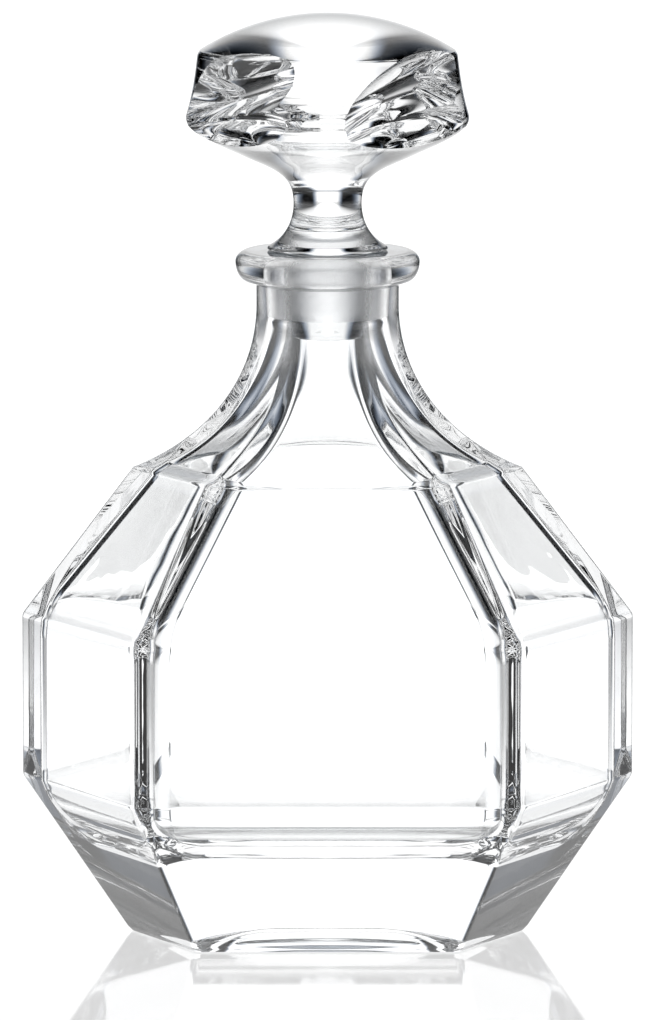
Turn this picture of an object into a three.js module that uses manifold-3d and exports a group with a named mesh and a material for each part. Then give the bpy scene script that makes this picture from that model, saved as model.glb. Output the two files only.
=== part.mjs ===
// Cut crystal decanter: a faceted bottle and its loose glass stopper.
// Millimetres, +Z up. The base stands on z = 0, the neck is on the Z axis, and the wide panels face -Y and +Y.

import * as THREE from 'three';
import { mergeVertices } from 'three/addons/utils/BufferGeometryUtils.js';
import Module from 'manifold-3d';

// ---- Bottle body: a hexagon whose front and back panels are lengthened along X by twice its stretch ----
const BASE_RADIUS = 36.1;
const BASE_STRETCH = 15.5;
const BELLY_RADIUS = 60.7;
const BELLY_STRETCH = 17.5;
const SHOULDER_RADIUS = 39.5;
const SHOULDER_STRETCH = 10.3;
const LOWER_CREASE_Z = 40.4;
const UPPER_CREASE_Z = 81.8;
const SHOULDER_Z = 119.5;
const FOOT_CHAMFER = 1.1;
const CORNER_FILLET = 3;
const RECESS_RADIUS = 28.5;
const RECESS_FILLET = 8;
const RECESS_DEPTH = 9;
const RECESS_POWER = 4;

// ---- Neck and rim collar ----
const NECK_RADIUS = 18.1;
const NECK_TOP_Z = 161;
const RIB_FADE_Z = 157;
const COLLAR_RADIUS = 23.4;
const COLLAR_BULGE = 3;
const COLLAR_MIDDLE_Z = 172;
const COLLAR_DROP = 4.8;
const RIM_Z = 174.9;

// ---- Inside of the bottle ----
const FLOOR_Z = 27.3;
const FLOOR_RADIUS = 31;
const FLOOR_ROUND = 13;
const WALL = 8;
const INNER_FILLET = 7;
const INNER_SHOULDER_Z = 115.5;
const BORE_END_RADIUS = 9.9;
const BORE_END_Z = 157.7;
const BORE_MOUTH_RADIUS = 10.6;
const MOUTH_FLARE = 0.9;

// ---- Stopper ----
const JOINT_GAP = 0.3;
const PLUG_END_Z = 152.8;
const PLUG_END_RADIUS = 9.1;
const FOOT_RADIUS = 15.3;
const STEM_RADIUS = 8.66;
const STEM_Z = 186.8;
const HEAD_RADIUS = 35.9;
const HEAD_WIDEST_Z = 208.2;
const CROWN_RADIUS = 33;
const CROWN_Z = 225;
const TOP_Z = 235;

// ---- Wheel cuts round the stopper's head: one upper and one lower hollow on each side ----
const HEAD_SIDES = 4;
const FIRST_CUT = 42.5;
const UPPER_CUT = { r: 35, z: 217.2, pitch: -2, tilt: 70.5, depth: 9.7, size: [72, 22, 72] };
const LOWER_CUT = { r: 31.5, z: 209.6, pitch: 32, tilt: 84, depth: 3.8, size: [27, 9, 45.5] };

// ---- Resolution ----
const SIDE_STEPS = 4;
const CORNER_STEPS = 2;
const BEND_STEPS = 4;
const NECK_STEPS = 12;
const WELL_STEPS = 7;
const ROUND_SEGMENTS = 64;

const rad = THREE.MathUtils.degToRad;

// One closed horizontal section. `round` 0 gives the stretched hexagon with filleted corners, and 1 gives a
// circle drawn out by the same stretch. Corner k is at 60 * k degrees.
function section(z, radius, stretch, fillet, round) {
  const sharp = [];
  const smooth = [];
  for (let k = 0; k < 6; k++) {
    const bisector = rad(60 * k);
    const shift = stretch * Math.sign(Math.round(2 * Math.cos(bisector)));
    const reach = radius - fillet / Math.cos(rad(30));
    for (let i = 0; i <= CORNER_STEPS; i++) {
      const turn = bisector + rad(-30 + (60 * i) / CORNER_STEPS);
      const x = reach * Math.cos(bisector) + fillet * Math.cos(turn) + shift;
      const y = reach * Math.sin(bisector) + fillet * Math.sin(turn);
      sharp.push(new THREE.Vector2(x, y));
      const angle = bisector + rad(-4 + (8 * i) / CORNER_STEPS);
      smooth.push(onDrawnCircle(radius, stretch, angle));
    }
  }
  const perCorner = CORNER_STEPS + 1;
  const points = [];
  for (let k = 0; k < 6; k++) {
    for (let i = 0; i < perCorner; i++) {
      const here = k * perCorner + i;
      points.push(sharp[here].clone().lerp(smooth[here], round));
    }
    const from = sharp[k * perCorner + CORNER_STEPS];
    const to = sharp[((k + 1) % 6) * perCorner];
    for (let j = 1; j < SIDE_STEPS; j++) {
      const t = j / SIDE_STEPS;
      const angle = rad(60 * k + 4 + 52 * t);
      points.push(from.clone().lerp(to, t).lerp(onDrawnCircle(radius, stretch, angle), round));
    }
  }
  return points.map((p) => new THREE.Vector3(p.x, p.y, z));
}

function onDrawnCircle(radius, stretch, angle) {
  const shift = stretch * THREE.MathUtils.clamp(2 * Math.cos(angle), -1, 1);
  return new THREE.Vector2(radius * Math.cos(angle) + shift, radius * Math.sin(angle));
}

// A closed solid through a stack of sections, each with the same number of points, capped at both ends.
function loft(sections) {
  const count = sections[0].length;
  const positions = sections.flat().flatMap((p) => [p.x, p.y, p.z]);
  const first = positions.length / 3;
  for (const end of [sections[0], sections[sections.length - 1]]) {
    positions.push(0, 0, end[0].z);
  }
  const index = [];
  for (let s = 0; s + 1 < sections.length; s++) {
    for (let i = 0; i < count; i++) {
      const a = s * count + i;
      const b = s * count + ((i + 1) % count);
      index.push(a, b, b + count, a, b + count, a + count);
    }
  }
  const lastRing = (sections.length - 1) * count;
  for (let i = 0; i < count; i++) {
    const next = (i + 1) % count;
    index.push(first, next, i);
    index.push(first + 1, lastRing + i, lastRing + next);
  }
  const geometry = new THREE.BufferGeometry();
  geometry.setAttribute('position', new THREE.Float32BufferAttribute(positions, 3));
  geometry.setIndex(index);
  return geometry;
}

function cubic(ends, steps) {
  return new THREE.CubicBezierCurve(...ends.map(([r, z]) => new THREE.Vector2(r, z))).getPoints(steps);
}

// Half-width of the outside, from the shoulder corner up to the round neck.
const shoulderWidth = SHOULDER_RADIUS + SHOULDER_STRETCH;
const neckCurve = cubic([
  [shoulderWidth, SHOULDER_Z],
  [30.1, 127.2],
  [NECK_RADIUS, 142.6],
  [NECK_RADIUS, NECK_TOP_Z],
], NECK_STEPS);

// Sections along a neck curve: the stretch shrinks with the width, and the hexagon fades into a circle.
function neckSections(curve, fadeZ, fillet) {
  const widest = curve[0].x;
  const narrowest = curve[curve.length - 1].x;
  return curve.map((p) => {
    const spread = (p.x - narrowest) / (widest - narrowest);
    const stretch = SHOULDER_STRETCH * spread;
    const round = THREE.MathUtils.smoothstep(p.y, SHOULDER_Z, fadeZ);
    return section(p.y, p.x - stretch, stretch, fillet * (0.3 + 0.7 * spread), round);
  });
}

function circle(z, radius) {
  return section(z, radius, 0, 0.1, 1);
}

// The recess under the base: it follows the base's outline at its edge and is rounder and flatter further in.
function recessSections() {
  const steps = [0.25, 0.45, 0.6, 0.72, 0.82, 0.91, 1];
  return steps.map((t) => {
    const height = RECESS_DEPTH * (1 - t ** RECESS_POWER);
    return section(height, RECESS_RADIUS * t, BASE_STRETCH * t, RECESS_FILLET * t, 1 - t);
  });
}

function outsideSections() {
  return [
    section(0, BASE_RADIUS - FOOT_CHAMFER, BASE_STRETCH, CORNER_FILLET, 0),
    section(FOOT_CHAMFER, BASE_RADIUS, BASE_STRETCH, CORNER_FILLET, 0),
    section(LOWER_CREASE_Z, BELLY_RADIUS, BELLY_STRETCH, CORNER_FILLET, 0),
    section(UPPER_CREASE_Z, BELLY_RADIUS, BELLY_STRETCH, CORNER_FILLET, 0),
    ...neckSections(neckCurve, RIB_FADE_Z, CORNER_FILLET),
  ];
}

// The rolled collar and its flat rim, from the outside of the neck to the mouth of the bore.
function collarSections() {
  const sections = [circle(COLLAR_MIDDLE_Z - COLLAR_DROP - 0.9, NECK_RADIUS)];
  for (let i = 0; i <= 8; i++) {
    const turn = rad(-78 + (168 * i) / 8);
    const height = turn < 0 ? COLLAR_DROP : RIM_Z - COLLAR_MIDDLE_Z;
    const r = COLLAR_RADIUS - COLLAR_BULGE + COLLAR_BULGE * Math.cos(turn);
    sections.push(circle(COLLAR_MIDDLE_Z + height * Math.sin(turn), r));
  }
  sections.push(circle(RIM_Z, BORE_MOUTH_RADIUS + MOUTH_FLARE));
  sections.push(circle(RIM_Z - MOUTH_FLARE, BORE_MOUTH_RADIUS));
  sections.push(circle(BORE_END_Z, BORE_END_RADIUS));
  return sections;
}

// The inside below the bore: it flares under the shoulder, follows the panels and ends in a rounded floor.
function insideSections() {
  const inset = WALL / Math.cos(rad(30));
  const shoulder = SHOULDER_RADIUS - inset - 1;
  const flare = cubic([
    [shoulder + SHOULDER_STRETCH, INNER_SHOULDER_Z],
    [26, 120.5],
    [10.6, 137],
    [BORE_END_RADIUS + 0.2, BORE_END_Z - 1],
  ], NECK_STEPS);
  const belly = BELLY_RADIUS - inset;
  const well = cubic([
    [belly, LOWER_CREASE_Z],
    [belly, LOWER_CREASE_Z - 7],
    [FLOOR_RADIUS + FLOOR_ROUND, FLOOR_Z],
    [FLOOR_RADIUS, FLOOR_Z],
  ], WELL_STEPS);
  return [
    ...neckSections(flare, RIB_FADE_Z - 12, INNER_FILLET).reverse(),
    ...innerCrease(shoulder, belly),
    ...well.map((p) => section(p.y, p.x, BELLY_STRETCH, INNER_FILLET, 0)),
  ];
}

// Sections over the softened crease between the inner taper, which ends at radius `shoulder`, and the upright
// wall, at radius `belly`.
function innerCrease(shoulder, belly) {
  const reach = 5;
  const part = reach / (INNER_SHOULDER_Z - UPPER_CREASE_Z);
  const leaning = THREE.MathUtils.lerp(belly, shoulder, part);
  const stretch = THREE.MathUtils.lerp(BELLY_STRETCH, SHOULDER_STRETCH, part);
  const bend = cubic([
    [leaning, UPPER_CREASE_Z + reach],
    [THREE.MathUtils.lerp(leaning, belly, 0.6), UPPER_CREASE_Z + 0.4 * reach],
    [belly, UPPER_CREASE_Z - 0.4 * reach],
    [belly, UPPER_CREASE_Z - reach],
  ], BEND_STEPS);
  return bend.map((p, i) => {
    const drawn = THREE.MathUtils.lerp(stretch, BELLY_STRETCH, i / BEND_STEPS);
    return section(p.y, p.x, drawn, INNER_FILLET, 0);
  });
}

function bottleGeometry() {
  return loft([...recessSections(), ...outsideSections(), ...collarSections(), ...insideSections()]);
}

// Outline of the stopper turned on its axis, before its head is cut.
function stopperOutline() {
  const seatZ = RIM_Z + JOINT_GAP;
  const mouth = BORE_MOUTH_RADIUS - JOINT_GAP;
  const points = [
    [0, PLUG_END_Z],
    [PLUG_END_RADIUS - 0.9, PLUG_END_Z],
    [PLUG_END_RADIUS, PLUG_END_Z + 1.2],
    [BORE_END_RADIUS - JOINT_GAP, BORE_END_Z],
    [mouth, RIM_Z - MOUTH_FLARE],
    [mouth + 0.5, seatZ],
    [FOOT_RADIUS - 0.4, seatZ],
    [FOOT_RADIUS, seatZ + 0.4],
  ].map(([r, z]) => new THREE.Vector2(r, z));
  const foot = [[FOOT_RADIUS - 0.3, seatZ + 0.9], [11, 178], [STEM_RADIUS, 182], [STEM_RADIUS, STEM_Z]];
  const underside = [[STEM_RADIUS, STEM_Z], [STEM_RADIUS, 194.5], [14, 195.5], [22, 199.2]];
  const flank = [[22, 199.2], [27, 201.6], [33, 203.8], [HEAD_RADIUS - 0.5, HEAD_WIDEST_Z - 1.4]];
  points.push(...cubic(foot, 7), ...cubic(underside, 8).slice(1), ...cubic(flank, 4).slice(1));
  points.push(new THREE.Vector2(HEAD_RADIUS, HEAD_WIDEST_Z));
  const lower = [HEAD_RADIUS - 0.2, HEAD_WIDEST_Z + 1.4];
  const upper = [CROWN_RADIUS, CROWN_Z - 1];
  points.push(...cubic([lower, [34.2, 214.5], [33.5, 219.5], upper], 4));
  const crown = new THREE.Vector2(CROWN_RADIUS - 1.2, CROWN_Z + 1);
  const rise = TOP_Z - crown.y;
  const dome = (crown.x * crown.x + rise * rise) / (2 * rise);
  const spread = Math.asin(crown.x / dome);
  for (let i = 0; i <= 8; i++) {
    const turn = spread * (1 - i / 8);
    points.push(new THREE.Vector2(i < 8 ? dome * Math.sin(turn) : 0, TOP_Z - dome + dome * Math.cos(turn)));
  }
  return points;
}

// A wheel-cut hollow is the bite of an ellipsoid, `size` being its half-lengths outwards, across and along.
// Turned `azimuth` degrees round the axis, it is sunk `depth` into the head at radius `r` and height `z`.
// It faces `pitch` degrees below level, and its long way leans `tilt` degrees from upright.
function hollow(cut, azimuth) {
  const geometry = new THREE.SphereGeometry(1, 40, 28);
  const place = new THREE.Matrix4().makeRotationZ(rad(azimuth));
  place.multiply(new THREE.Matrix4().makeTranslation(cut.r, 0, cut.z));
  place.multiply(new THREE.Matrix4().makeRotationY(rad(cut.pitch)));
  place.multiply(new THREE.Matrix4().makeTranslation(cut.size[0] - cut.depth, 0, 0));
  place.multiply(new THREE.Matrix4().makeRotationX(rad(-cut.tilt)));
  place.multiply(new THREE.Matrix4().makeScale(cut.size[0], cut.size[1], cut.size[2]));
  return geometry.applyMatrix4(place);
}

async function stopperGeometry() {
  const wasm = await Module();
  wasm.setup();
  const toManifold = (geometry) => {
    const plain = geometry.clone();
    plain.deleteAttribute('normal');
    plain.deleteAttribute('uv');
    const merged = mergeVertices(plain, 1e-5);
    const mesh = new wasm.Mesh({
      numProp: 3,
      vertProperties: new Float32Array(merged.attributes.position.array),
      triVerts: new Uint32Array(merged.index.array),
    });
    return new wasm.Manifold(mesh);
  };
  const turned = new THREE.LatheGeometry(stopperOutline(), ROUND_SEGMENTS);
  turned.rotateX(Math.PI / 2);
  let head = toManifold(turned);
  for (let i = 0; i < HEAD_SIDES; i++) {
    const azimuth = FIRST_CUT + (360 * i) / HEAD_SIDES;
    head = head.subtract(toManifold(hollow(UPPER_CUT, azimuth)));
    head = head.subtract(toManifold(hollow(LOWER_CUT, azimuth)));
  }
  const result = head.simplify(0.02).getMesh();
  const geometry = new THREE.BufferGeometry();
  geometry.setAttribute('position', new THREE.BufferAttribute(new Float32Array(result.vertProperties), 3));
  geometry.setIndex(new THREE.BufferAttribute(new Uint32Array(result.triVerts), 1));
  return geometry;
}

function piece(name, geometry, color, roughness) {
  const material = new THREE.MeshStandardMaterial({ color, roughness, metalness: 0 });
  const mesh = new THREE.Mesh(geometry, material);
  mesh.name = name;
  return mesh;
}

const decanter = new THREE.Group();
decanter.add(piece('bottle', bottleGeometry(), 0xeef3f5, 0.02));
decanter.add(piece('stopper', await stopperGeometry(), 0xf1f5f7, 0.02));

export default decanter;
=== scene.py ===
"""Cut crystal decanter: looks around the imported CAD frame.

Shapes are worked out in millimetres and angles in degrees. The scene is in metres.
"""

import math

import bpy
import numpy as np
from mathutils import Matrix, Vector


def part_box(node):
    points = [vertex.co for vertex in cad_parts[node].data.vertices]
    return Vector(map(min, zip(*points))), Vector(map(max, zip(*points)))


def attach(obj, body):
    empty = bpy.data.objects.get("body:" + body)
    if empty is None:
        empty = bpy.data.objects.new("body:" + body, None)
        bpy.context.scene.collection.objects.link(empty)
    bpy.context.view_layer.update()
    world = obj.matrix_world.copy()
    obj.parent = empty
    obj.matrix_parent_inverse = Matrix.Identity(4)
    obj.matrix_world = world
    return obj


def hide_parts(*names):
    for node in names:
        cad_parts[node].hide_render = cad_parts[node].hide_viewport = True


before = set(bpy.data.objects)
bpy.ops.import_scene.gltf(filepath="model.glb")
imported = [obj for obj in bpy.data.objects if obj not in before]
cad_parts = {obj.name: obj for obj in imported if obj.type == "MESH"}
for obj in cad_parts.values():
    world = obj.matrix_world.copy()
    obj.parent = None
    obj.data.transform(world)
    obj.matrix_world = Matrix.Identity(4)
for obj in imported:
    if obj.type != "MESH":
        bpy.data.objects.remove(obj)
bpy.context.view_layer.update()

MM = 0.001

# A section's radius is that of its six corners. Its stretch moves its right half right and its left half left.
# A bend is the control points between a curve's two ends, each a radius and a height.

# ---- Bottle, measured from the middle of the base ----
BASE_RADIUS = 36.1
BASE_STRETCH = 15.5
BELLY_RADIUS = 60.7
BELLY_STRETCH = 17.5
SHOULDER_RADIUS = 39.5
SHOULDER_STRETCH = 10.3
LOWER_CREASE_Z = 40.4
UPPER_CREASE_Z = 81.8
SHOULDER_Z = 119.5
FOOT_CHAMFER = 1.1
CORNER_FILLET = 3.0
RECESS_RADIUS = 28.5
RECESS_FILLET = 8.0
RECESS_DEPTH = 9.0
RECESS_POWER = 4
NECK_RADIUS = 18.1
NECK_BEND = ([30.1, 127.2], [NECK_RADIUS, 142.6])
NECK_TOP_Z = 161.0
NECK_FILLET_SHARE = 0.3
RIB_FADE_Z = 157.0
COLLAR_RADIUS = 23.4
COLLAR_BULGE = 3.0
COLLAR_MIDDLE_Z = 172.0
COLLAR_DROP = 4.8
COLLAR_ROOT = 0.9
COLLAR_FIRST_TURN = -78
COLLAR_LAST_TURN = 90
RIM_Z = 174.9

# ---- Inside of the bottle ----
FLOOR_Z = 27.3
FLOOR_RADIUS = 31.0
FLOOR_ROUND = 13.0
WELL_DROP = 7
WALL = 8.0
INNER_FILLET = 7.0
INNER_SHOULDER_Z = 115.5
INNER_SHOULDER_INSET = 1
INNER_NECK_BEND = ([26, 120.5], [10.6, 137])
INNER_NECK_MARGIN = 0.2
INNER_NECK_DROP = 1
INNER_RIB_FADE_Z = 145.0
BORE_END_RADIUS = 9.9
BORE_END_Z = 157.7
BORE_MOUTH_RADIUS = 10.6
MOUTH_FLARE = 0.9

# ---- Sections: six corners, and the part of a turn that each one takes when it is flat-sided or round ----
CORNERS = 6
CORNER_TURN = 60
ROUND_CORNER = 8
CIRCLE_FILLET = 0.1

# ---- Softened edges: how far the rounding reaches to each side ----
FOOT_REACH = 0.5
CREASE_REACH = 0.9
INNER_CREASE_REACH = 6

# ---- Stopper ----
JOINT_GAP = 0.3
PLUG_END_Z = 152.8
PLUG_END_RADIUS = 9.1
PLUG_END_RINGS = (0, 3, 6)
PLUG_ROUND = 0.9
PLUG_ROUND_RISE = 1.2
SEAT_FLARE = 0.5
FOOT_RADIUS = 15.3
FOOT_ROUND = 0.4
FOOT_TOP_INSET = 0.3
FOOT_TOP_RISE = 0.9
STEM_RADIUS = 8.66
STEM_Z = 186.8
LOWER_STEM_BEND = ([11, 178], [STEM_RADIUS, 182])
UPPER_STEM_BEND = ([STEM_RADIUS, 194.5], [14, 195.5])
HEAD_START = [22, 199.2]
HEAD_RADIUS = 35.9
HEAD_WIDEST_Z = 208.2
WIDEST_INSET = 0.5
WIDEST_BULGE = 0.2
WIDEST_RISE = 1.4
HEAD_UNDERSIDE = ([27, 201.6], [33, 203.8])
HEAD_SIDE = ([34.2, 214.5], [33.5, 219.5])
CROWN_RADIUS = 33.0
CROWN_Z = 225.0
CROWN_INSET = 1.2
CROWN_RISE = 1
CROWN_BEND_INSET = 0.1
CROWN_BEND_RISE = 0.4
TOP_Z = 235.0

# ---- Wheel cuts: one wide upper and one narrow lower hollow on each of the head's four sides ----
HEAD_SIDES = 4
FIRST_CUT = 42.5
UPPER_CUT = dict(r=35, z=217.2, pitch=-2, tilt=70.5, depth=9.7, size=(72, 22, 72))
LOWER_CUT = dict(r=31.5, z=209.6, pitch=32, tilt=84, depth=3.8, size=(27, 9, 45.5))
CUT_TOLERANCE = 0.004

# ---- Ground joint: where the glass is ground ----
GROUND_LOW_Z = 157.9
GROUND_HIGH_Z = RIM_Z - 1
GROUND_BORE_RADIUS = 10.7
GROUND_PLUG_RADII = (9.3, 10.5)

# ---- Fineness of the visible meshes ----
CORNER_STEPS = 6
SIDE_STEPS = 12
FOOT_STEPS = 3
CREASE_STEPS = 5
INNER_CREASE_STEPS = 8
CREASE_SUPPORT = 0.02
RECESS_RINGS = 20
NECK_STEPS = 36
COLLAR_STEPS = 22
MOUTH_STEPS = 4
BORE_RINGS = 6
INNER_NECK_STEPS = 32
WELL_STEPS = 20
PLUG_STEPS = 5
STEM_STEPS = 20
HEAD_STEPS = 12
WIDEST_STEPS = 5
CROWN_STEPS = 4
DOME_RINGS = 20
TURN_STEPS = 192
BALL_RINGS = 72
BALL_STEPS = 144
BOTTLE_SHARP_ANGLE = 35
STOPPER_SHARP_ANGLE = 14
FACET_WEIGHT = 90

# ---- Polished glass: lengths in metres, scales in patterns per metre ----
CLEAR_TINT = (0.985, 0.99, 0.992)
# The next colour is painted shade: the glass's colour darkens to it where the surface is seen edge-on, in
# place of the dark outlines that shade gives.
EDGE_PAINTED_SHADE = (0.02, 0.025, 0.03)
EDGE_BLEND = 0.5
EDGE_RANGE = (0.55, 0.86)
CLEAR_IOR = 1.54
POLISH_SCALE = 260
POLISH_DETAIL = 4
POLISH_ROUGHNESS = (0.0, 0.012)
WAVE_SCALE = 45
WAVE_DETAIL = 2
WAVE_DEPTH = 0.00003

# ---- Ground glass ----
GROUND_TINT = (0.97, 0.975, 0.98)
GROUND_IOR = 1.5
GROUND_SCALE = 900
GROUND_DETAIL = 3
GROUND_ROUGHNESS = (0.28, 0.42)
GRAIN_SCALE = 2600
GRAIN_DETAIL = 2
GRAIN_DEPTH = 0.00002
NOISE_SPAN = (0.3, 0.7)

# ---- Studio light: strengths, and the world directions between which each part fades ----
SWEEP = 1.25
SWEEP_SIDE = (0.17, 0.33)
SWEEP_FRONT = (-0.6, -0.1)
PANELS = 1.05
PANEL_SIDE = (0.40, 0.84)
PANEL_TOP = (0.20, 0.40)
DIM_COLOUR = (0.6, 0.75, 1.0)
WHITE = (1, 1, 1)

# ---- Floor, in metres ----
FLOOR_HALF = 6
FLOOR_DROP = 0.0003
FLOOR_TINT = (0.3, 0.3, 0.3)
FLOOR_ROUGHNESS = 0.05
FLOOR_IOR = 1.45
FLOOR_GLOW = 1.0
FLOOR_GLOW_SIDE = (0.15, 0.45)
FLOOR_SEEN = 0.6

# ---- Light bounces ----
MAX_BOUNCES = 24
TRANSMISSION_BOUNCES = 20
GLOSSY_BOUNCES = 12

# ---- Camera, in metres and radians; its sensor and lens are in millimetres ----
CAMERA_DISTANCE = 2.224
CAMERA_HEIGHT = 0.4286
CAMERA_PITCH = 0.1430
CAMERA_SHIFT = 0.0009
CAMERA_REACH = 50
SENSOR_WIDTH = 36
LENS = 312.0706


# ------------------------------------------------------------------ curves and sections
def bezier(ends, steps):
    """Points along the curve of the given control points, ends included."""
    pts = np.array(ends, float)
    n = len(pts) - 1
    t = np.linspace(0, 1, steps + 1)[:, None]
    return sum(math.comb(n, i) * (1 - t) ** (n - i) * t**i * pts[i] for i in range(n + 1))


def joined(start, *pieces):
    """Points along curves that follow one another; a piece is its further control points and its steps."""
    points = [start]
    for controls, steps in pieces:
        points += list(bezier([start, *controls], steps))[1:]
        start = controls[-1]
    return points


def soft_crease(below, middle, above, reach, steps):
    """Points that round the crease at `middle` over `reach` millimetres to each side."""
    b, m, a = (np.array(p, float) for p in (below, middle, above))
    start = m + (b - m) / np.linalg.norm(b - m) * reach
    end = m + (a - m) / np.linalg.norm(a - m) * reach
    return bezier([start, m, end], steps)


def smoothstep(x, low, high):
    t = max(0.0, min(1.0, (x - low) / (high - low)))
    return t * t * (3 - 2 * t)


def toward(start, end, share):
    start = np.array(start, float)
    return start + (np.array(end, float) - start) * share


def on_drawn_circle(radius, stretch, angle):
    """A point of a circle whose right and left sides are drawn apart by `stretch` millimetres each."""
    shift = stretch * max(-1.0, min(1.0, 2 * math.cos(angle)))
    return np.array([radius * math.cos(angle) + shift, radius * math.sin(angle)])


def flat_corner(k, radius, stretch, fillet):
    """The filleted corner number `k` of the hexagon that is drawn out along X."""
    middle = math.radians(CORNER_TURN * k)
    shift = stretch * np.sign(round(2 * math.cos(middle)))
    reach = radius - fillet / math.cos(math.radians(CORNER_TURN / 2))
    points = []
    for i in range(CORNER_STEPS + 1):
        turn = middle + math.radians(-CORNER_TURN / 2 + CORNER_TURN * i / CORNER_STEPS)
        x = reach * math.cos(middle) + fillet * math.cos(turn) + shift
        y = reach * math.sin(middle) + fillet * math.sin(turn)
        points.append(np.array([x, y]))
    return points


def round_corner(k, radius, stretch):
    """The points that corner number `k` becomes when the section is fully round."""
    middle = math.radians(CORNER_TURN * k)
    points = []
    for i in range(CORNER_STEPS + 1):
        angle = middle + math.radians(-ROUND_CORNER / 2 + ROUND_CORNER * i / CORNER_STEPS)
        points.append(on_drawn_circle(radius, stretch, angle))
    return points


def section(z, radius, stretch, fillet, roundness):
    """One closed ring: roundness 0 is the stretched hexagon with filleted corners, 1 is a circle."""
    corners = [flat_corner(k, radius, stretch, fillet) for k in range(CORNERS)]
    ring = []
    for k in range(CORNERS):
        for a, b in zip(corners[k], round_corner(k, radius, stretch)):
            ring.append(a + (b - a) * roundness)
        start = corners[k][-1]
        end = corners[(k + 1) % CORNERS][0]
        for j in range(1, SIDE_STEPS):
            t = j / SIDE_STEPS
            p = start + (end - start) * t
            angle = CORNER_TURN * k + ROUND_CORNER / 2 + (CORNER_TURN - ROUND_CORNER) * t
            c = on_drawn_circle(radius, stretch, math.radians(angle))
            ring.append(p + (c - p) * roundness)
    return np.array([[p[0], p[1], z] for p in ring])


def circle(z, radius):
    return section(z, radius, 0, CIRCLE_FILLET, 1)


# ------------------------------------------------------------------ bottle
def outside_profile():
    """(radius, height, stretch) up the outside, from the foot to just under the shoulder."""
    foot = [BASE_RADIUS, FOOT_CHAMFER, BASE_STRETCH]
    low = [BELLY_RADIUS, LOWER_CREASE_Z, BELLY_STRETCH]
    high = [BELLY_RADIUS, UPPER_CREASE_Z, BELLY_STRETCH]
    shoulder = [SHOULDER_RADIUS, SHOULDER_Z, SHOULDER_STRETCH]
    points = [[BASE_RADIUS - FOOT_CHAMFER, 0, BASE_STRETCH]]
    points += list(soft_crease(points[0], foot, low, FOOT_REACH, FOOT_STEPS))
    for here, before, after in ((low, foot, high), (high, low, shoulder)):
        arc = soft_crease(before, here, after, CREASE_REACH, CREASE_STEPS)
        points += [toward(arc[0], before, CREASE_SUPPORT)]
        points += list(arc)
        points += [toward(arc[-1], after, CREASE_SUPPORT)]
    points += [toward(shoulder, high, CREASE_SUPPORT)]
    return points


def neck_sections(curve, fade_z, fillet):
    """Rings along a (radius, height) curve: a drawn-out hexagon at its wide end, round from `fade_z` up."""
    widest, narrowest = curve[0][0], curve[-1][0]
    rings = []
    for r, z in curve:
        spread = (r - narrowest) / (widest - narrowest)
        stretch = SHOULDER_STRETCH * spread
        corner = fillet * (NECK_FILLET_SHARE + (1 - NECK_FILLET_SHARE) * spread)
        rings.append(section(z, r - stretch, stretch, corner, smoothstep(z, SHOULDER_Z, fade_z)))
    return rings


def outside_sections():
    rings = [section(z, r, s, CORNER_FILLET, 0) for r, z, s in outside_profile()]
    start = [SHOULDER_RADIUS + SHOULDER_STRETCH, SHOULDER_Z]
    curve = bezier([start, *NECK_BEND, [NECK_RADIUS, NECK_TOP_Z]], NECK_STEPS)
    return rings + neck_sections(curve, RIB_FADE_Z, CORNER_FILLET)


def recess_sections():
    """The recess under the base: it follows the base's outline at its edge and is round at its middle."""
    rings = []
    for t in np.linspace(0, 1, RECESS_RINGS + 1)[1:]:
        height = RECESS_DEPTH * (1 - t ** RECESS_POWER)
        rings.append(section(height, RECESS_RADIUS * t, BASE_STRETCH * t, RECESS_FILLET * t, 1 - t))
    return rings


def collar_sections():
    """The rolled collar, then over the rim and down the tapered bore."""
    rings = [circle(COLLAR_MIDDLE_Z - COLLAR_DROP - COLLAR_ROOT, NECK_RADIUS)]
    for i in range(COLLAR_STEPS + 1):
        sweep = (COLLAR_LAST_TURN - COLLAR_FIRST_TURN) * i / COLLAR_STEPS
        turn = math.radians(COLLAR_FIRST_TURN + sweep)
        height = COLLAR_DROP if turn < 0 else RIM_Z - COLLAR_MIDDLE_Z
        r = COLLAR_RADIUS - COLLAR_BULGE + COLLAR_BULGE * math.cos(turn)
        rings.append(circle(COLLAR_MIDDLE_Z + height * math.sin(turn), r))
    rim = [BORE_MOUTH_RADIUS + MOUTH_FLARE, RIM_Z]
    edge = [BORE_MOUTH_RADIUS, RIM_Z]
    mouth = [BORE_MOUTH_RADIUS, RIM_Z - MOUTH_FLARE]
    rings += [circle(z, r) for r, z in bezier([rim, edge, mouth], MOUTH_STEPS)]
    for t in np.linspace(0, 1, BORE_RINGS + 1)[1:]:
        r = BORE_MOUTH_RADIUS + (BORE_END_RADIUS - BORE_MOUTH_RADIUS) * t
        rings.append(circle(RIM_Z - MOUTH_FLARE + (BORE_END_Z - RIM_Z + MOUTH_FLARE) * t, r))
    return rings


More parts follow.
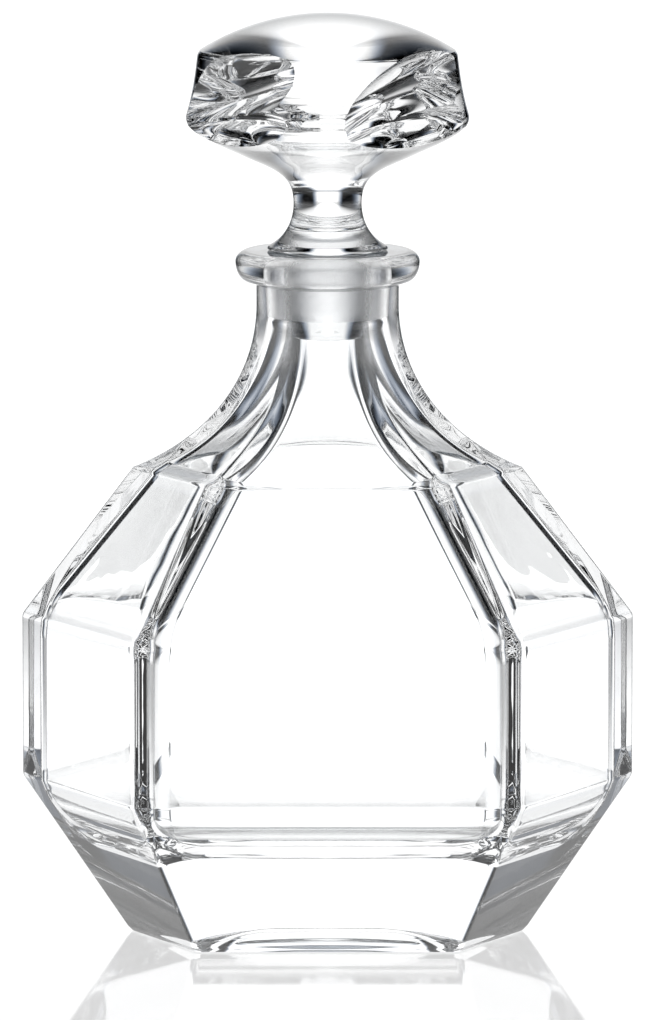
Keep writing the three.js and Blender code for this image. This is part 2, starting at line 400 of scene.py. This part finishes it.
def inside_sections():
    """The inside, from the end of the bore down to the floor."""
    inset = WALL / math.cos(math.radians(CORNER_TURN / 2))
    shoulder = SHOULDER_RADIUS - inset - INNER_SHOULDER_INSET
    wide = [shoulder + SHOULDER_STRETCH, INNER_SHOULDER_Z]
    narrow = [BORE_END_RADIUS + INNER_NECK_MARGIN, BORE_END_Z - INNER_NECK_DROP]
    flare = bezier([wide, *INNER_NECK_BEND, narrow], INNER_NECK_STEPS)
    rings = neck_sections(flare, INNER_RIB_FADE_Z, INNER_FILLET)[::-1]
    belly = BELLY_RADIUS - inset
    above = [shoulder, INNER_SHOULDER_Z, SHOULDER_STRETCH]
    middle = [belly, UPPER_CREASE_Z, BELLY_STRETCH]
    below = [belly, LOWER_CREASE_Z, BELLY_STRETCH]
    arc = soft_crease(above, middle, below, INNER_CREASE_REACH, INNER_CREASE_STEPS)
    rings += [section(z, r, s, INNER_FILLET, 0) for r, z, s in arc]
    well_start = [belly, LOWER_CREASE_Z]
    well_side = [belly, LOWER_CREASE_Z - WELL_DROP]
    well_edge = [FLOOR_RADIUS + FLOOR_ROUND, FLOOR_Z]
    well = bezier([well_start, well_side, well_edge, [FLOOR_RADIUS, FLOOR_Z]], WELL_STEPS)
    rings += [section(z, r, BELLY_STRETCH, INNER_FILLET, 0) for r, z in well]
    return rings


# ------------------------------------------------------------------ stopper
def plug_profile():
    """(radius, height) from the middle of the plug's end, up the plug and out over the seat."""
    seat = RIM_Z + JOINT_GAP
    mouth = BORE_MOUTH_RADIUS - JOINT_GAP
    edge = [PLUG_END_RADIUS, PLUG_END_Z]
    edge_inside = [PLUG_END_RADIUS - PLUG_ROUND, PLUG_END_Z]
    edge_above = [PLUG_END_RADIUS, PLUG_END_Z + PLUG_ROUND_RISE]
    points = [[r, PLUG_END_Z] for r in PLUG_END_RINGS]
    points += list(bezier([edge_inside, edge, edge_above], PLUG_STEPS))
    points += [[BORE_END_RADIUS - JOINT_GAP, BORE_END_Z]]
    points += [[mouth, RIM_Z - MOUTH_FLARE]]
    points += [[mouth + SEAT_FLARE, seat]]
    foot_edge = ([FOOT_RADIUS, seat], [FOOT_RADIUS, seat + FOOT_ROUND])
    points += joined([FOOT_RADIUS - FOOT_ROUND, seat], (foot_edge, FOOT_STEPS))
    return points


def head_profile():
    """(radius, height) up the stem and round the head, to the middle of its top."""
    foot_top = [FOOT_RADIUS - FOOT_TOP_INSET, RIM_Z + JOINT_GAP + FOOT_TOP_RISE]
    below_widest = [HEAD_RADIUS - WIDEST_INSET, HEAD_WIDEST_Z - WIDEST_RISE]
    widest = [HEAD_RADIUS + WIDEST_BULGE, HEAD_WIDEST_Z]
    above_widest = [HEAD_RADIUS - WIDEST_BULGE, HEAD_WIDEST_Z + WIDEST_RISE]
    below_crown = [CROWN_RADIUS, CROWN_Z - CROWN_RISE]
    crown_edge = [CROWN_RADIUS - CROWN_BEND_INSET, CROWN_Z + CROWN_BEND_RISE]
    crown = [CROWN_RADIUS - CROWN_INSET, CROWN_Z + CROWN_RISE]
    outline = joined(
        foot_top,
        ([*LOWER_STEM_BEND, [STEM_RADIUS, STEM_Z]], STEM_STEPS),
        ([*UPPER_STEM_BEND, HEAD_START], STEM_STEPS),
        ([*HEAD_UNDERSIDE, below_widest], HEAD_STEPS),
        ([widest, above_widest], WIDEST_STEPS),
        ([*HEAD_SIDE, below_crown], HEAD_STEPS),
        ([crown_edge, crown], CROWN_STEPS),
    )
    return outline[:-1] + dome_profile(*crown)


def dome_profile(radius, z):
    """A round cap from the given edge to the middle of the top."""
    rise = TOP_Z - z
    dome = (radius**2 + rise**2) / (2 * rise)
    spread = math.asin(radius / dome)
    points = []
    for t in np.linspace(1, 0, DOME_RINGS):
        points.append([dome * math.sin(spread * t), TOP_Z - dome + dome * math.cos(spread * t)])
    return points


def cut_matrix(cut, azimuth):
    """Turns the unit ball into one hollow: an ellipsoid that reaches `depth` inward from `r` and `z`.

    It faces `pitch` degrees below level, and `tilt` turns it about the line it faces along.
    """
    x, y, z = (half * MM for half in cut["size"])
    m = Matrix.Rotation(math.radians(azimuth), 4, "Z")
    m = m @ Matrix.Translation((cut["r"] * MM, 0, cut["z"] * MM))
    m = m @ Matrix.Rotation(math.radians(cut["pitch"]), 4, "Y")
    m = m @ Matrix.Translation(((cut["size"][0] - cut["depth"]) * MM, 0, 0))
    m = m @ Matrix.Rotation(math.radians(-cut["tilt"]), 4, "X")
    return m @ Matrix.Diagonal((x, y, z, 1))


# ------------------------------------------------------------------ meshes
def skin(name, rings, first_end, last_end):
    """A closed mesh through the rings, with a fan from an end point over the first and the last one."""
    count = len(rings[0])
    first = len(rings) * count
    last_ring = first - count
    verts = np.concatenate([*rings, [first_end, last_end]])
    faces = []
    for s in range(len(rings) - 1):
        for i in range(count):
            a = s * count + i
            b = s * count + (i + 1) % count
            faces.append((a, b, b + count, a + count))
    for i in range(count):
        j = (i + 1) % count
        faces.append((first, j, i))
        faces.append((first + 1, last_ring + i, last_ring + j))
    mesh = bpy.data.meshes.new(name)
    mesh.from_pydata((verts * MM).tolist(), [], faces)
    mesh.update()
    return mesh


def loft(name, rings):
    return skin(name, rings, rings[0].mean(0), rings[-1].mean(0))


def lathe(name, profile, steps):
    """A closed solid of revolution; the profile starts and ends on the axis."""
    angles = np.linspace(0, 2 * math.pi, steps, endpoint=False)
    rings = []
    for r, z in profile[1:-1]:
        rings.append([[r * math.cos(a), r * math.sin(a), z] for a in angles])
    return skin(name, rings, [0, 0, profile[0][1]], [0, 0, profile[-1][1]])


def unit_ball(name):
    """A ball of radius 1 metre."""
    profile = np.array([[math.sin(t), -math.cos(t)] for t in np.linspace(0, math.pi, BALL_RINGS)])
    profile[0][0] = profile[-1][0] = 0
    return lathe(name, profile / MM, BALL_STEPS)


def new_object(name, mesh):
    obj = bpy.data.objects.new(name, mesh)
    bpy.context.scene.collection.objects.link(obj)
    return obj


def cut_head(obj, matrices):
    """Takes the wheel-cut hollows out of the turned blank."""
    ball = unit_ball("hollow_tool")
    for m in matrices:
        tool = new_object("hollow_tool", ball)
        tool.matrix_world = m
        mod = obj.modifiers.new("hollow", "BOOLEAN")
        mod.operation = "DIFFERENCE"
        mod.solver = "EXACT"
        mod.object = tool
        bpy.context.view_layer.update()
        evaluated = obj.evaluated_get(bpy.context.evaluated_depsgraph_get())
        done = bpy.data.meshes.new_from_object(evaluated)
        obj.modifiers.remove(mod)
        obj.data = done
        bpy.data.objects.remove(tool)
    bpy.data.meshes.remove(ball)


def head_normals(obj, matrices):
    """Exact normals for the cut hollows, so that each one is a clean polished surface."""
    mesh = obj.data
    mesh.update()
    normals = [Vector(n.vector) for n in mesh.corner_normals]
    inverses = [m.inverted() for m in matrices]
    for poly in mesh.polygons:
        for inv in inverses:
            co = [inv @ mesh.vertices[v].co for v in poly.vertices]
            if max(abs(c.length - 1) for c in co) < CUT_TOLERANCE:
                turn = inv.to_3x3().transposed()
                for loop, c in zip(poly.loop_indices, co):
                    normals[loop] = -(turn @ c).normalized()
                break
    mesh.normals_split_custom_set([tuple(n) for n in normals])


def finish_mesh(obj, sharp_angle, low_radius, high_radius):
    """Smooths the mesh but for its sharp edges, and marks the ground joint between the two radii."""
    mesh = obj.data
    mesh.shade_smooth()
    mesh.set_sharp_from_angle(angle=math.radians(sharp_angle))
    for poly in mesh.polygons:
        c = poly.center / MM
        in_band = GROUND_LOW_Z < c.z < GROUND_HIGH_Z
        if in_band and low_radius < math.hypot(c.x, c.y) < high_radius:
            poly.material_index = 1


# ------------------------------------------------------------------ shader helpers
def map_range(tree, value, source, target, interpolation="LINEAR"):
    levels = tree.nodes.new("ShaderNodeMapRange")
    levels.interpolation_type = interpolation
    names = ("From Min", "From Max", "To Min", "To Max")
    for name, number in zip(names, (*source, *target)):
        levels.inputs[name].default_value = number
    tree.links.new(value, levels.inputs["Value"])
    return levels.outputs["Result"]


def fade(tree, value, source, before, after):
    """A soft step: `before` below the source range, `after` above it."""
    return map_range(tree, value, source, (before, after), "SMOOTHSTEP")


def combine(tree, operation, *values):
    node = tree.nodes.new("ShaderNodeMath")
    node.operation = operation
    for value, socket in zip(values, node.inputs):
        tree.links.new(value, socket)
    return node.outputs[0]


def components(tree, vector):
    split = tree.nodes.new("ShaderNodeSeparateXYZ")
    tree.links.new(vector, split.inputs[0])
    return split.outputs


def mix_colours(tree, factor, first, second):
    mix = tree.nodes.new("ShaderNodeMix")
    mix.data_type = "RGBA"
    mix.inputs["A"].default_value = (*first, 1)
    mix.inputs["B"].default_value = (*second, 1)
    tree.links.new(factor, mix.inputs["Factor"])
    return mix.outputs["Result"]


def is_camera_ray(tree):
    return tree.nodes.new("ShaderNodeLightPath").outputs["Is Camera Ray"]


def noise_value(tree, scale, detail, low, high):
    """A soft fractal pattern in the object's own metres, between two values."""
    coords = tree.nodes.new("ShaderNodeTexCoord")
    noise = tree.nodes.new("ShaderNodeTexNoise")
    noise.inputs["Scale"].default_value = scale
    noise.inputs["Detail"].default_value = detail
    tree.links.new(coords.outputs["Object"], noise.inputs["Vector"])
    return map_range(tree, noise.outputs["Fac"], NOISE_SPAN, (low, high))


def relief(tree, bsdf, scale, detail, depth):
    """Bumps `depth` metres high on the surface."""
    bump = tree.nodes.new("ShaderNodeBump")
    bump.inputs["Distance"].default_value = depth
    tree.links.new(noise_value(tree, scale, detail, 0, 1), bump.inputs["Height"])
    tree.links.new(bump.outputs["Normal"], bsdf.inputs["Normal"])


def new_material(name):
    mat = bpy.data.materials.new(name)
    mat.use_nodes = True
    return mat, mat.node_tree, mat.node_tree.nodes["Principled BSDF"]


# ------------------------------------------------------------------ materials
def crystal(name):
    """Polished clear glass with painted shade: its colour darkens where it is seen edge-on, and its surface
    waves very slightly.
    """
    mat, tree, bsdf = new_material(name)
    facing = tree.nodes.new("ShaderNodeLayerWeight")
    facing.inputs["Blend"].default_value = EDGE_BLEND
    rim = fade(tree, facing.outputs["Facing"], EDGE_RANGE, 0, 1)
    # painted shade: the clear glass colour darkens to the edge colour where the surface is seen edge-on
    glass_colour_and_edge_shade = mix_colours(tree, rim, CLEAR_TINT, EDGE_PAINTED_SHADE)
    polish = noise_value(tree, POLISH_SCALE, POLISH_DETAIL, *POLISH_ROUGHNESS)
    tree.links.new(glass_colour_and_edge_shade, bsdf.inputs["Base Color"])
    tree.links.new(polish, bsdf.inputs["Roughness"])
    relief(tree, bsdf, WAVE_SCALE, WAVE_DETAIL, WAVE_DEPTH)
    bsdf.inputs["Transmission Weight"].default_value = 1
    bsdf.inputs["IOR"].default_value = CLEAR_IOR
    return mat


def ground(name):
    """Finely ground glass: milky, with a fine even grain."""
    mat, tree, bsdf = new_material(name)
    frosting = noise_value(tree, GROUND_SCALE, GROUND_DETAIL, *GROUND_ROUGHNESS)
    bsdf.inputs["Base Color"].default_value = (*GROUND_TINT, 1)
    tree.links.new(frosting, bsdf.inputs["Roughness"])
    relief(tree, bsdf, GRAIN_SCALE, GRAIN_DETAIL, GRAIN_DEPTH)
    bsdf.inputs["Transmission Weight"].default_value = 1
    bsdf.inputs["IOR"].default_value = GROUND_IOR
    return mat


def pale_floor(name):
    """A pale glossy floor that glows: the glass sees a glow near the middle only, the camera an even one."""
    mat, tree, bsdf = new_material(name)
    bsdf.inputs["Base Color"].default_value = (*FLOOR_TINT, 1)
    bsdf.inputs["Roughness"].default_value = FLOOR_ROUGHNESS
    bsdf.inputs["IOR"].default_value = FLOOR_IOR
    bsdf.inputs["Emission Color"].default_value = (*WHITE, 1)
    place = tree.nodes.new("ShaderNodeNewGeometry")
    sideways = combine(tree, "ABSOLUTE", components(tree, place.outputs["Position"])["X"])
    glow = tree.nodes.new("ShaderNodeMix")
    glow.data_type = "FLOAT"
    tree.links.new(is_camera_ray(tree), glow.inputs[0])
    tree.links.new(fade(tree, sideways, FLOOR_GLOW_SIDE, FLOOR_GLOW, 0), glow.inputs[2])
    glow.inputs[3].default_value = FLOOR_SEEN
    tree.links.new(glow.outputs[0], bsdf.inputs["Emission Strength"])
    return mat


# ------------------------------------------------------------------ pieces
def make_bottle():
    rings = recess_sections() + outside_sections() + collar_sections() + inside_sections()
    obj = new_object("bottle_crystal", loft("bottle_crystal", rings))
    finish_mesh(obj, BOTTLE_SHARP_ANGLE, 0, GROUND_BORE_RADIUS)
    weighted = obj.modifiers.new("flat facets", "WEIGHTED_NORMAL")
    weighted.keep_sharp = True
    weighted.weight = FACET_WEIGHT
    return obj


def make_stopper():
    profile = np.array(plug_profile() + head_profile())
    obj = new_object("stopper_crystal", lathe("stopper_crystal", profile, TURN_STEPS))
    cuts = []
    for i in range(HEAD_SIDES):
        azimuth = FIRST_CUT + 360 * i / HEAD_SIDES
        cuts += [cut_matrix(UPPER_CUT, azimuth), cut_matrix(LOWER_CUT, azimuth)]
    cut_head(obj, cuts)
    finish_mesh(obj, STOPPER_SHARP_ANGLE, *GROUND_PLUG_RADII)
    head_normals(obj, cuts)
    return obj


def make_floor():
    half = FLOOR_HALF
    mesh = bpy.data.meshes.new("floor")
    corners = [(-half, -half, 0), (half, -half, 0), (half, half, 0), (-half, half, 0)]
    mesh.from_pydata(corners, [], [(0, 1, 2, 3)])
    mesh.materials.append(pale_floor("pale_floor"))
    obj = new_object("floor", mesh)
    obj.location.z = -FLOOR_DROP
    return obj


# ------------------------------------------------------------------ studio
def light_studio():
    """A bright sweep behind and above, and low bright panels to the sides. The camera itself sees white."""
    world = bpy.data.worlds.new("studio")
    bpy.context.scene.world = world
    world.use_nodes = True
    tree = world.node_tree
    coords = tree.nodes.new("ShaderNodeTexCoord")
    direction = components(tree, coords.outputs["Generated"])
    sideways, lengthways, height = (combine(tree, "ABSOLUTE", direction[axis]) for axis in "XYZ")
    sweep_sides = fade(tree, sideways, SWEEP_SIDE, SWEEP, 0)
    sweep_front = fade(tree, direction["Y"], SWEEP_FRONT, 0, 1)
    sweep = combine(tree, "MULTIPLY", sweep_sides, sweep_front)
    panel_sides = fade(tree, lengthways, PANEL_SIDE, PANELS, 0)
    panel_tops = fade(tree, height, PANEL_TOP, 1, 0)
    panels = combine(tree, "MULTIPLY", panel_sides, panel_tops)
    light = combine(tree, "ADD", sweep, panels)
    shown = combine(tree, "MAXIMUM", light, is_camera_ray(tree))
    background = tree.nodes["Background"]
    tree.links.new(shown, background.inputs["Strength"])
    tree.links.new(mix_colours(tree, shown, DIM_COLOUR, WHITE), background.inputs["Color"])


def set_view():
    scene = bpy.context.scene
    scene.view_settings.view_transform = "Standard"
    scene.cycles.max_bounces = MAX_BOUNCES
    scene.cycles.transmission_bounces = TRANSMISSION_BOUNCES
    scene.cycles.glossy_bounces = GLOSSY_BOUNCES


def place_camera():
    data = bpy.data.cameras.new("camera")
    data.sensor_width = SENSOR_WIDTH
    data.lens = LENS
    data.clip_end = CAMERA_REACH
    data.shift_x = CAMERA_SHIFT
    camera = new_object("camera", data)
    camera.location = (0, -CAMERA_DISTANCE, CAMERA_HEIGHT)
    camera.rotation_euler = (math.pi / 2 - CAMERA_PITCH, 0, 0)
    bpy.context.scene.camera = camera


# ------------------------------------------------------------------ scene
bottle = make_bottle()
stopper = make_stopper()
clear = crystal("clear_crystal")
frost = ground("ground_joint")
for obj, body, foot_z in ((bottle, "bottle", 0), (stopper, "stopper", PLUG_END_Z)):
    obj.data.materials.append(clear)
    obj.data.materials.append(frost)
    low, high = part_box(body)
    obj.location = ((low.x + high.x) / 2, (low.y + high.y) / 2, low.z - foot_z * MM)
    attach(obj, body)
    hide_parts(body)

floor = make_floor()
light_studio()
set_view()
place_camera()
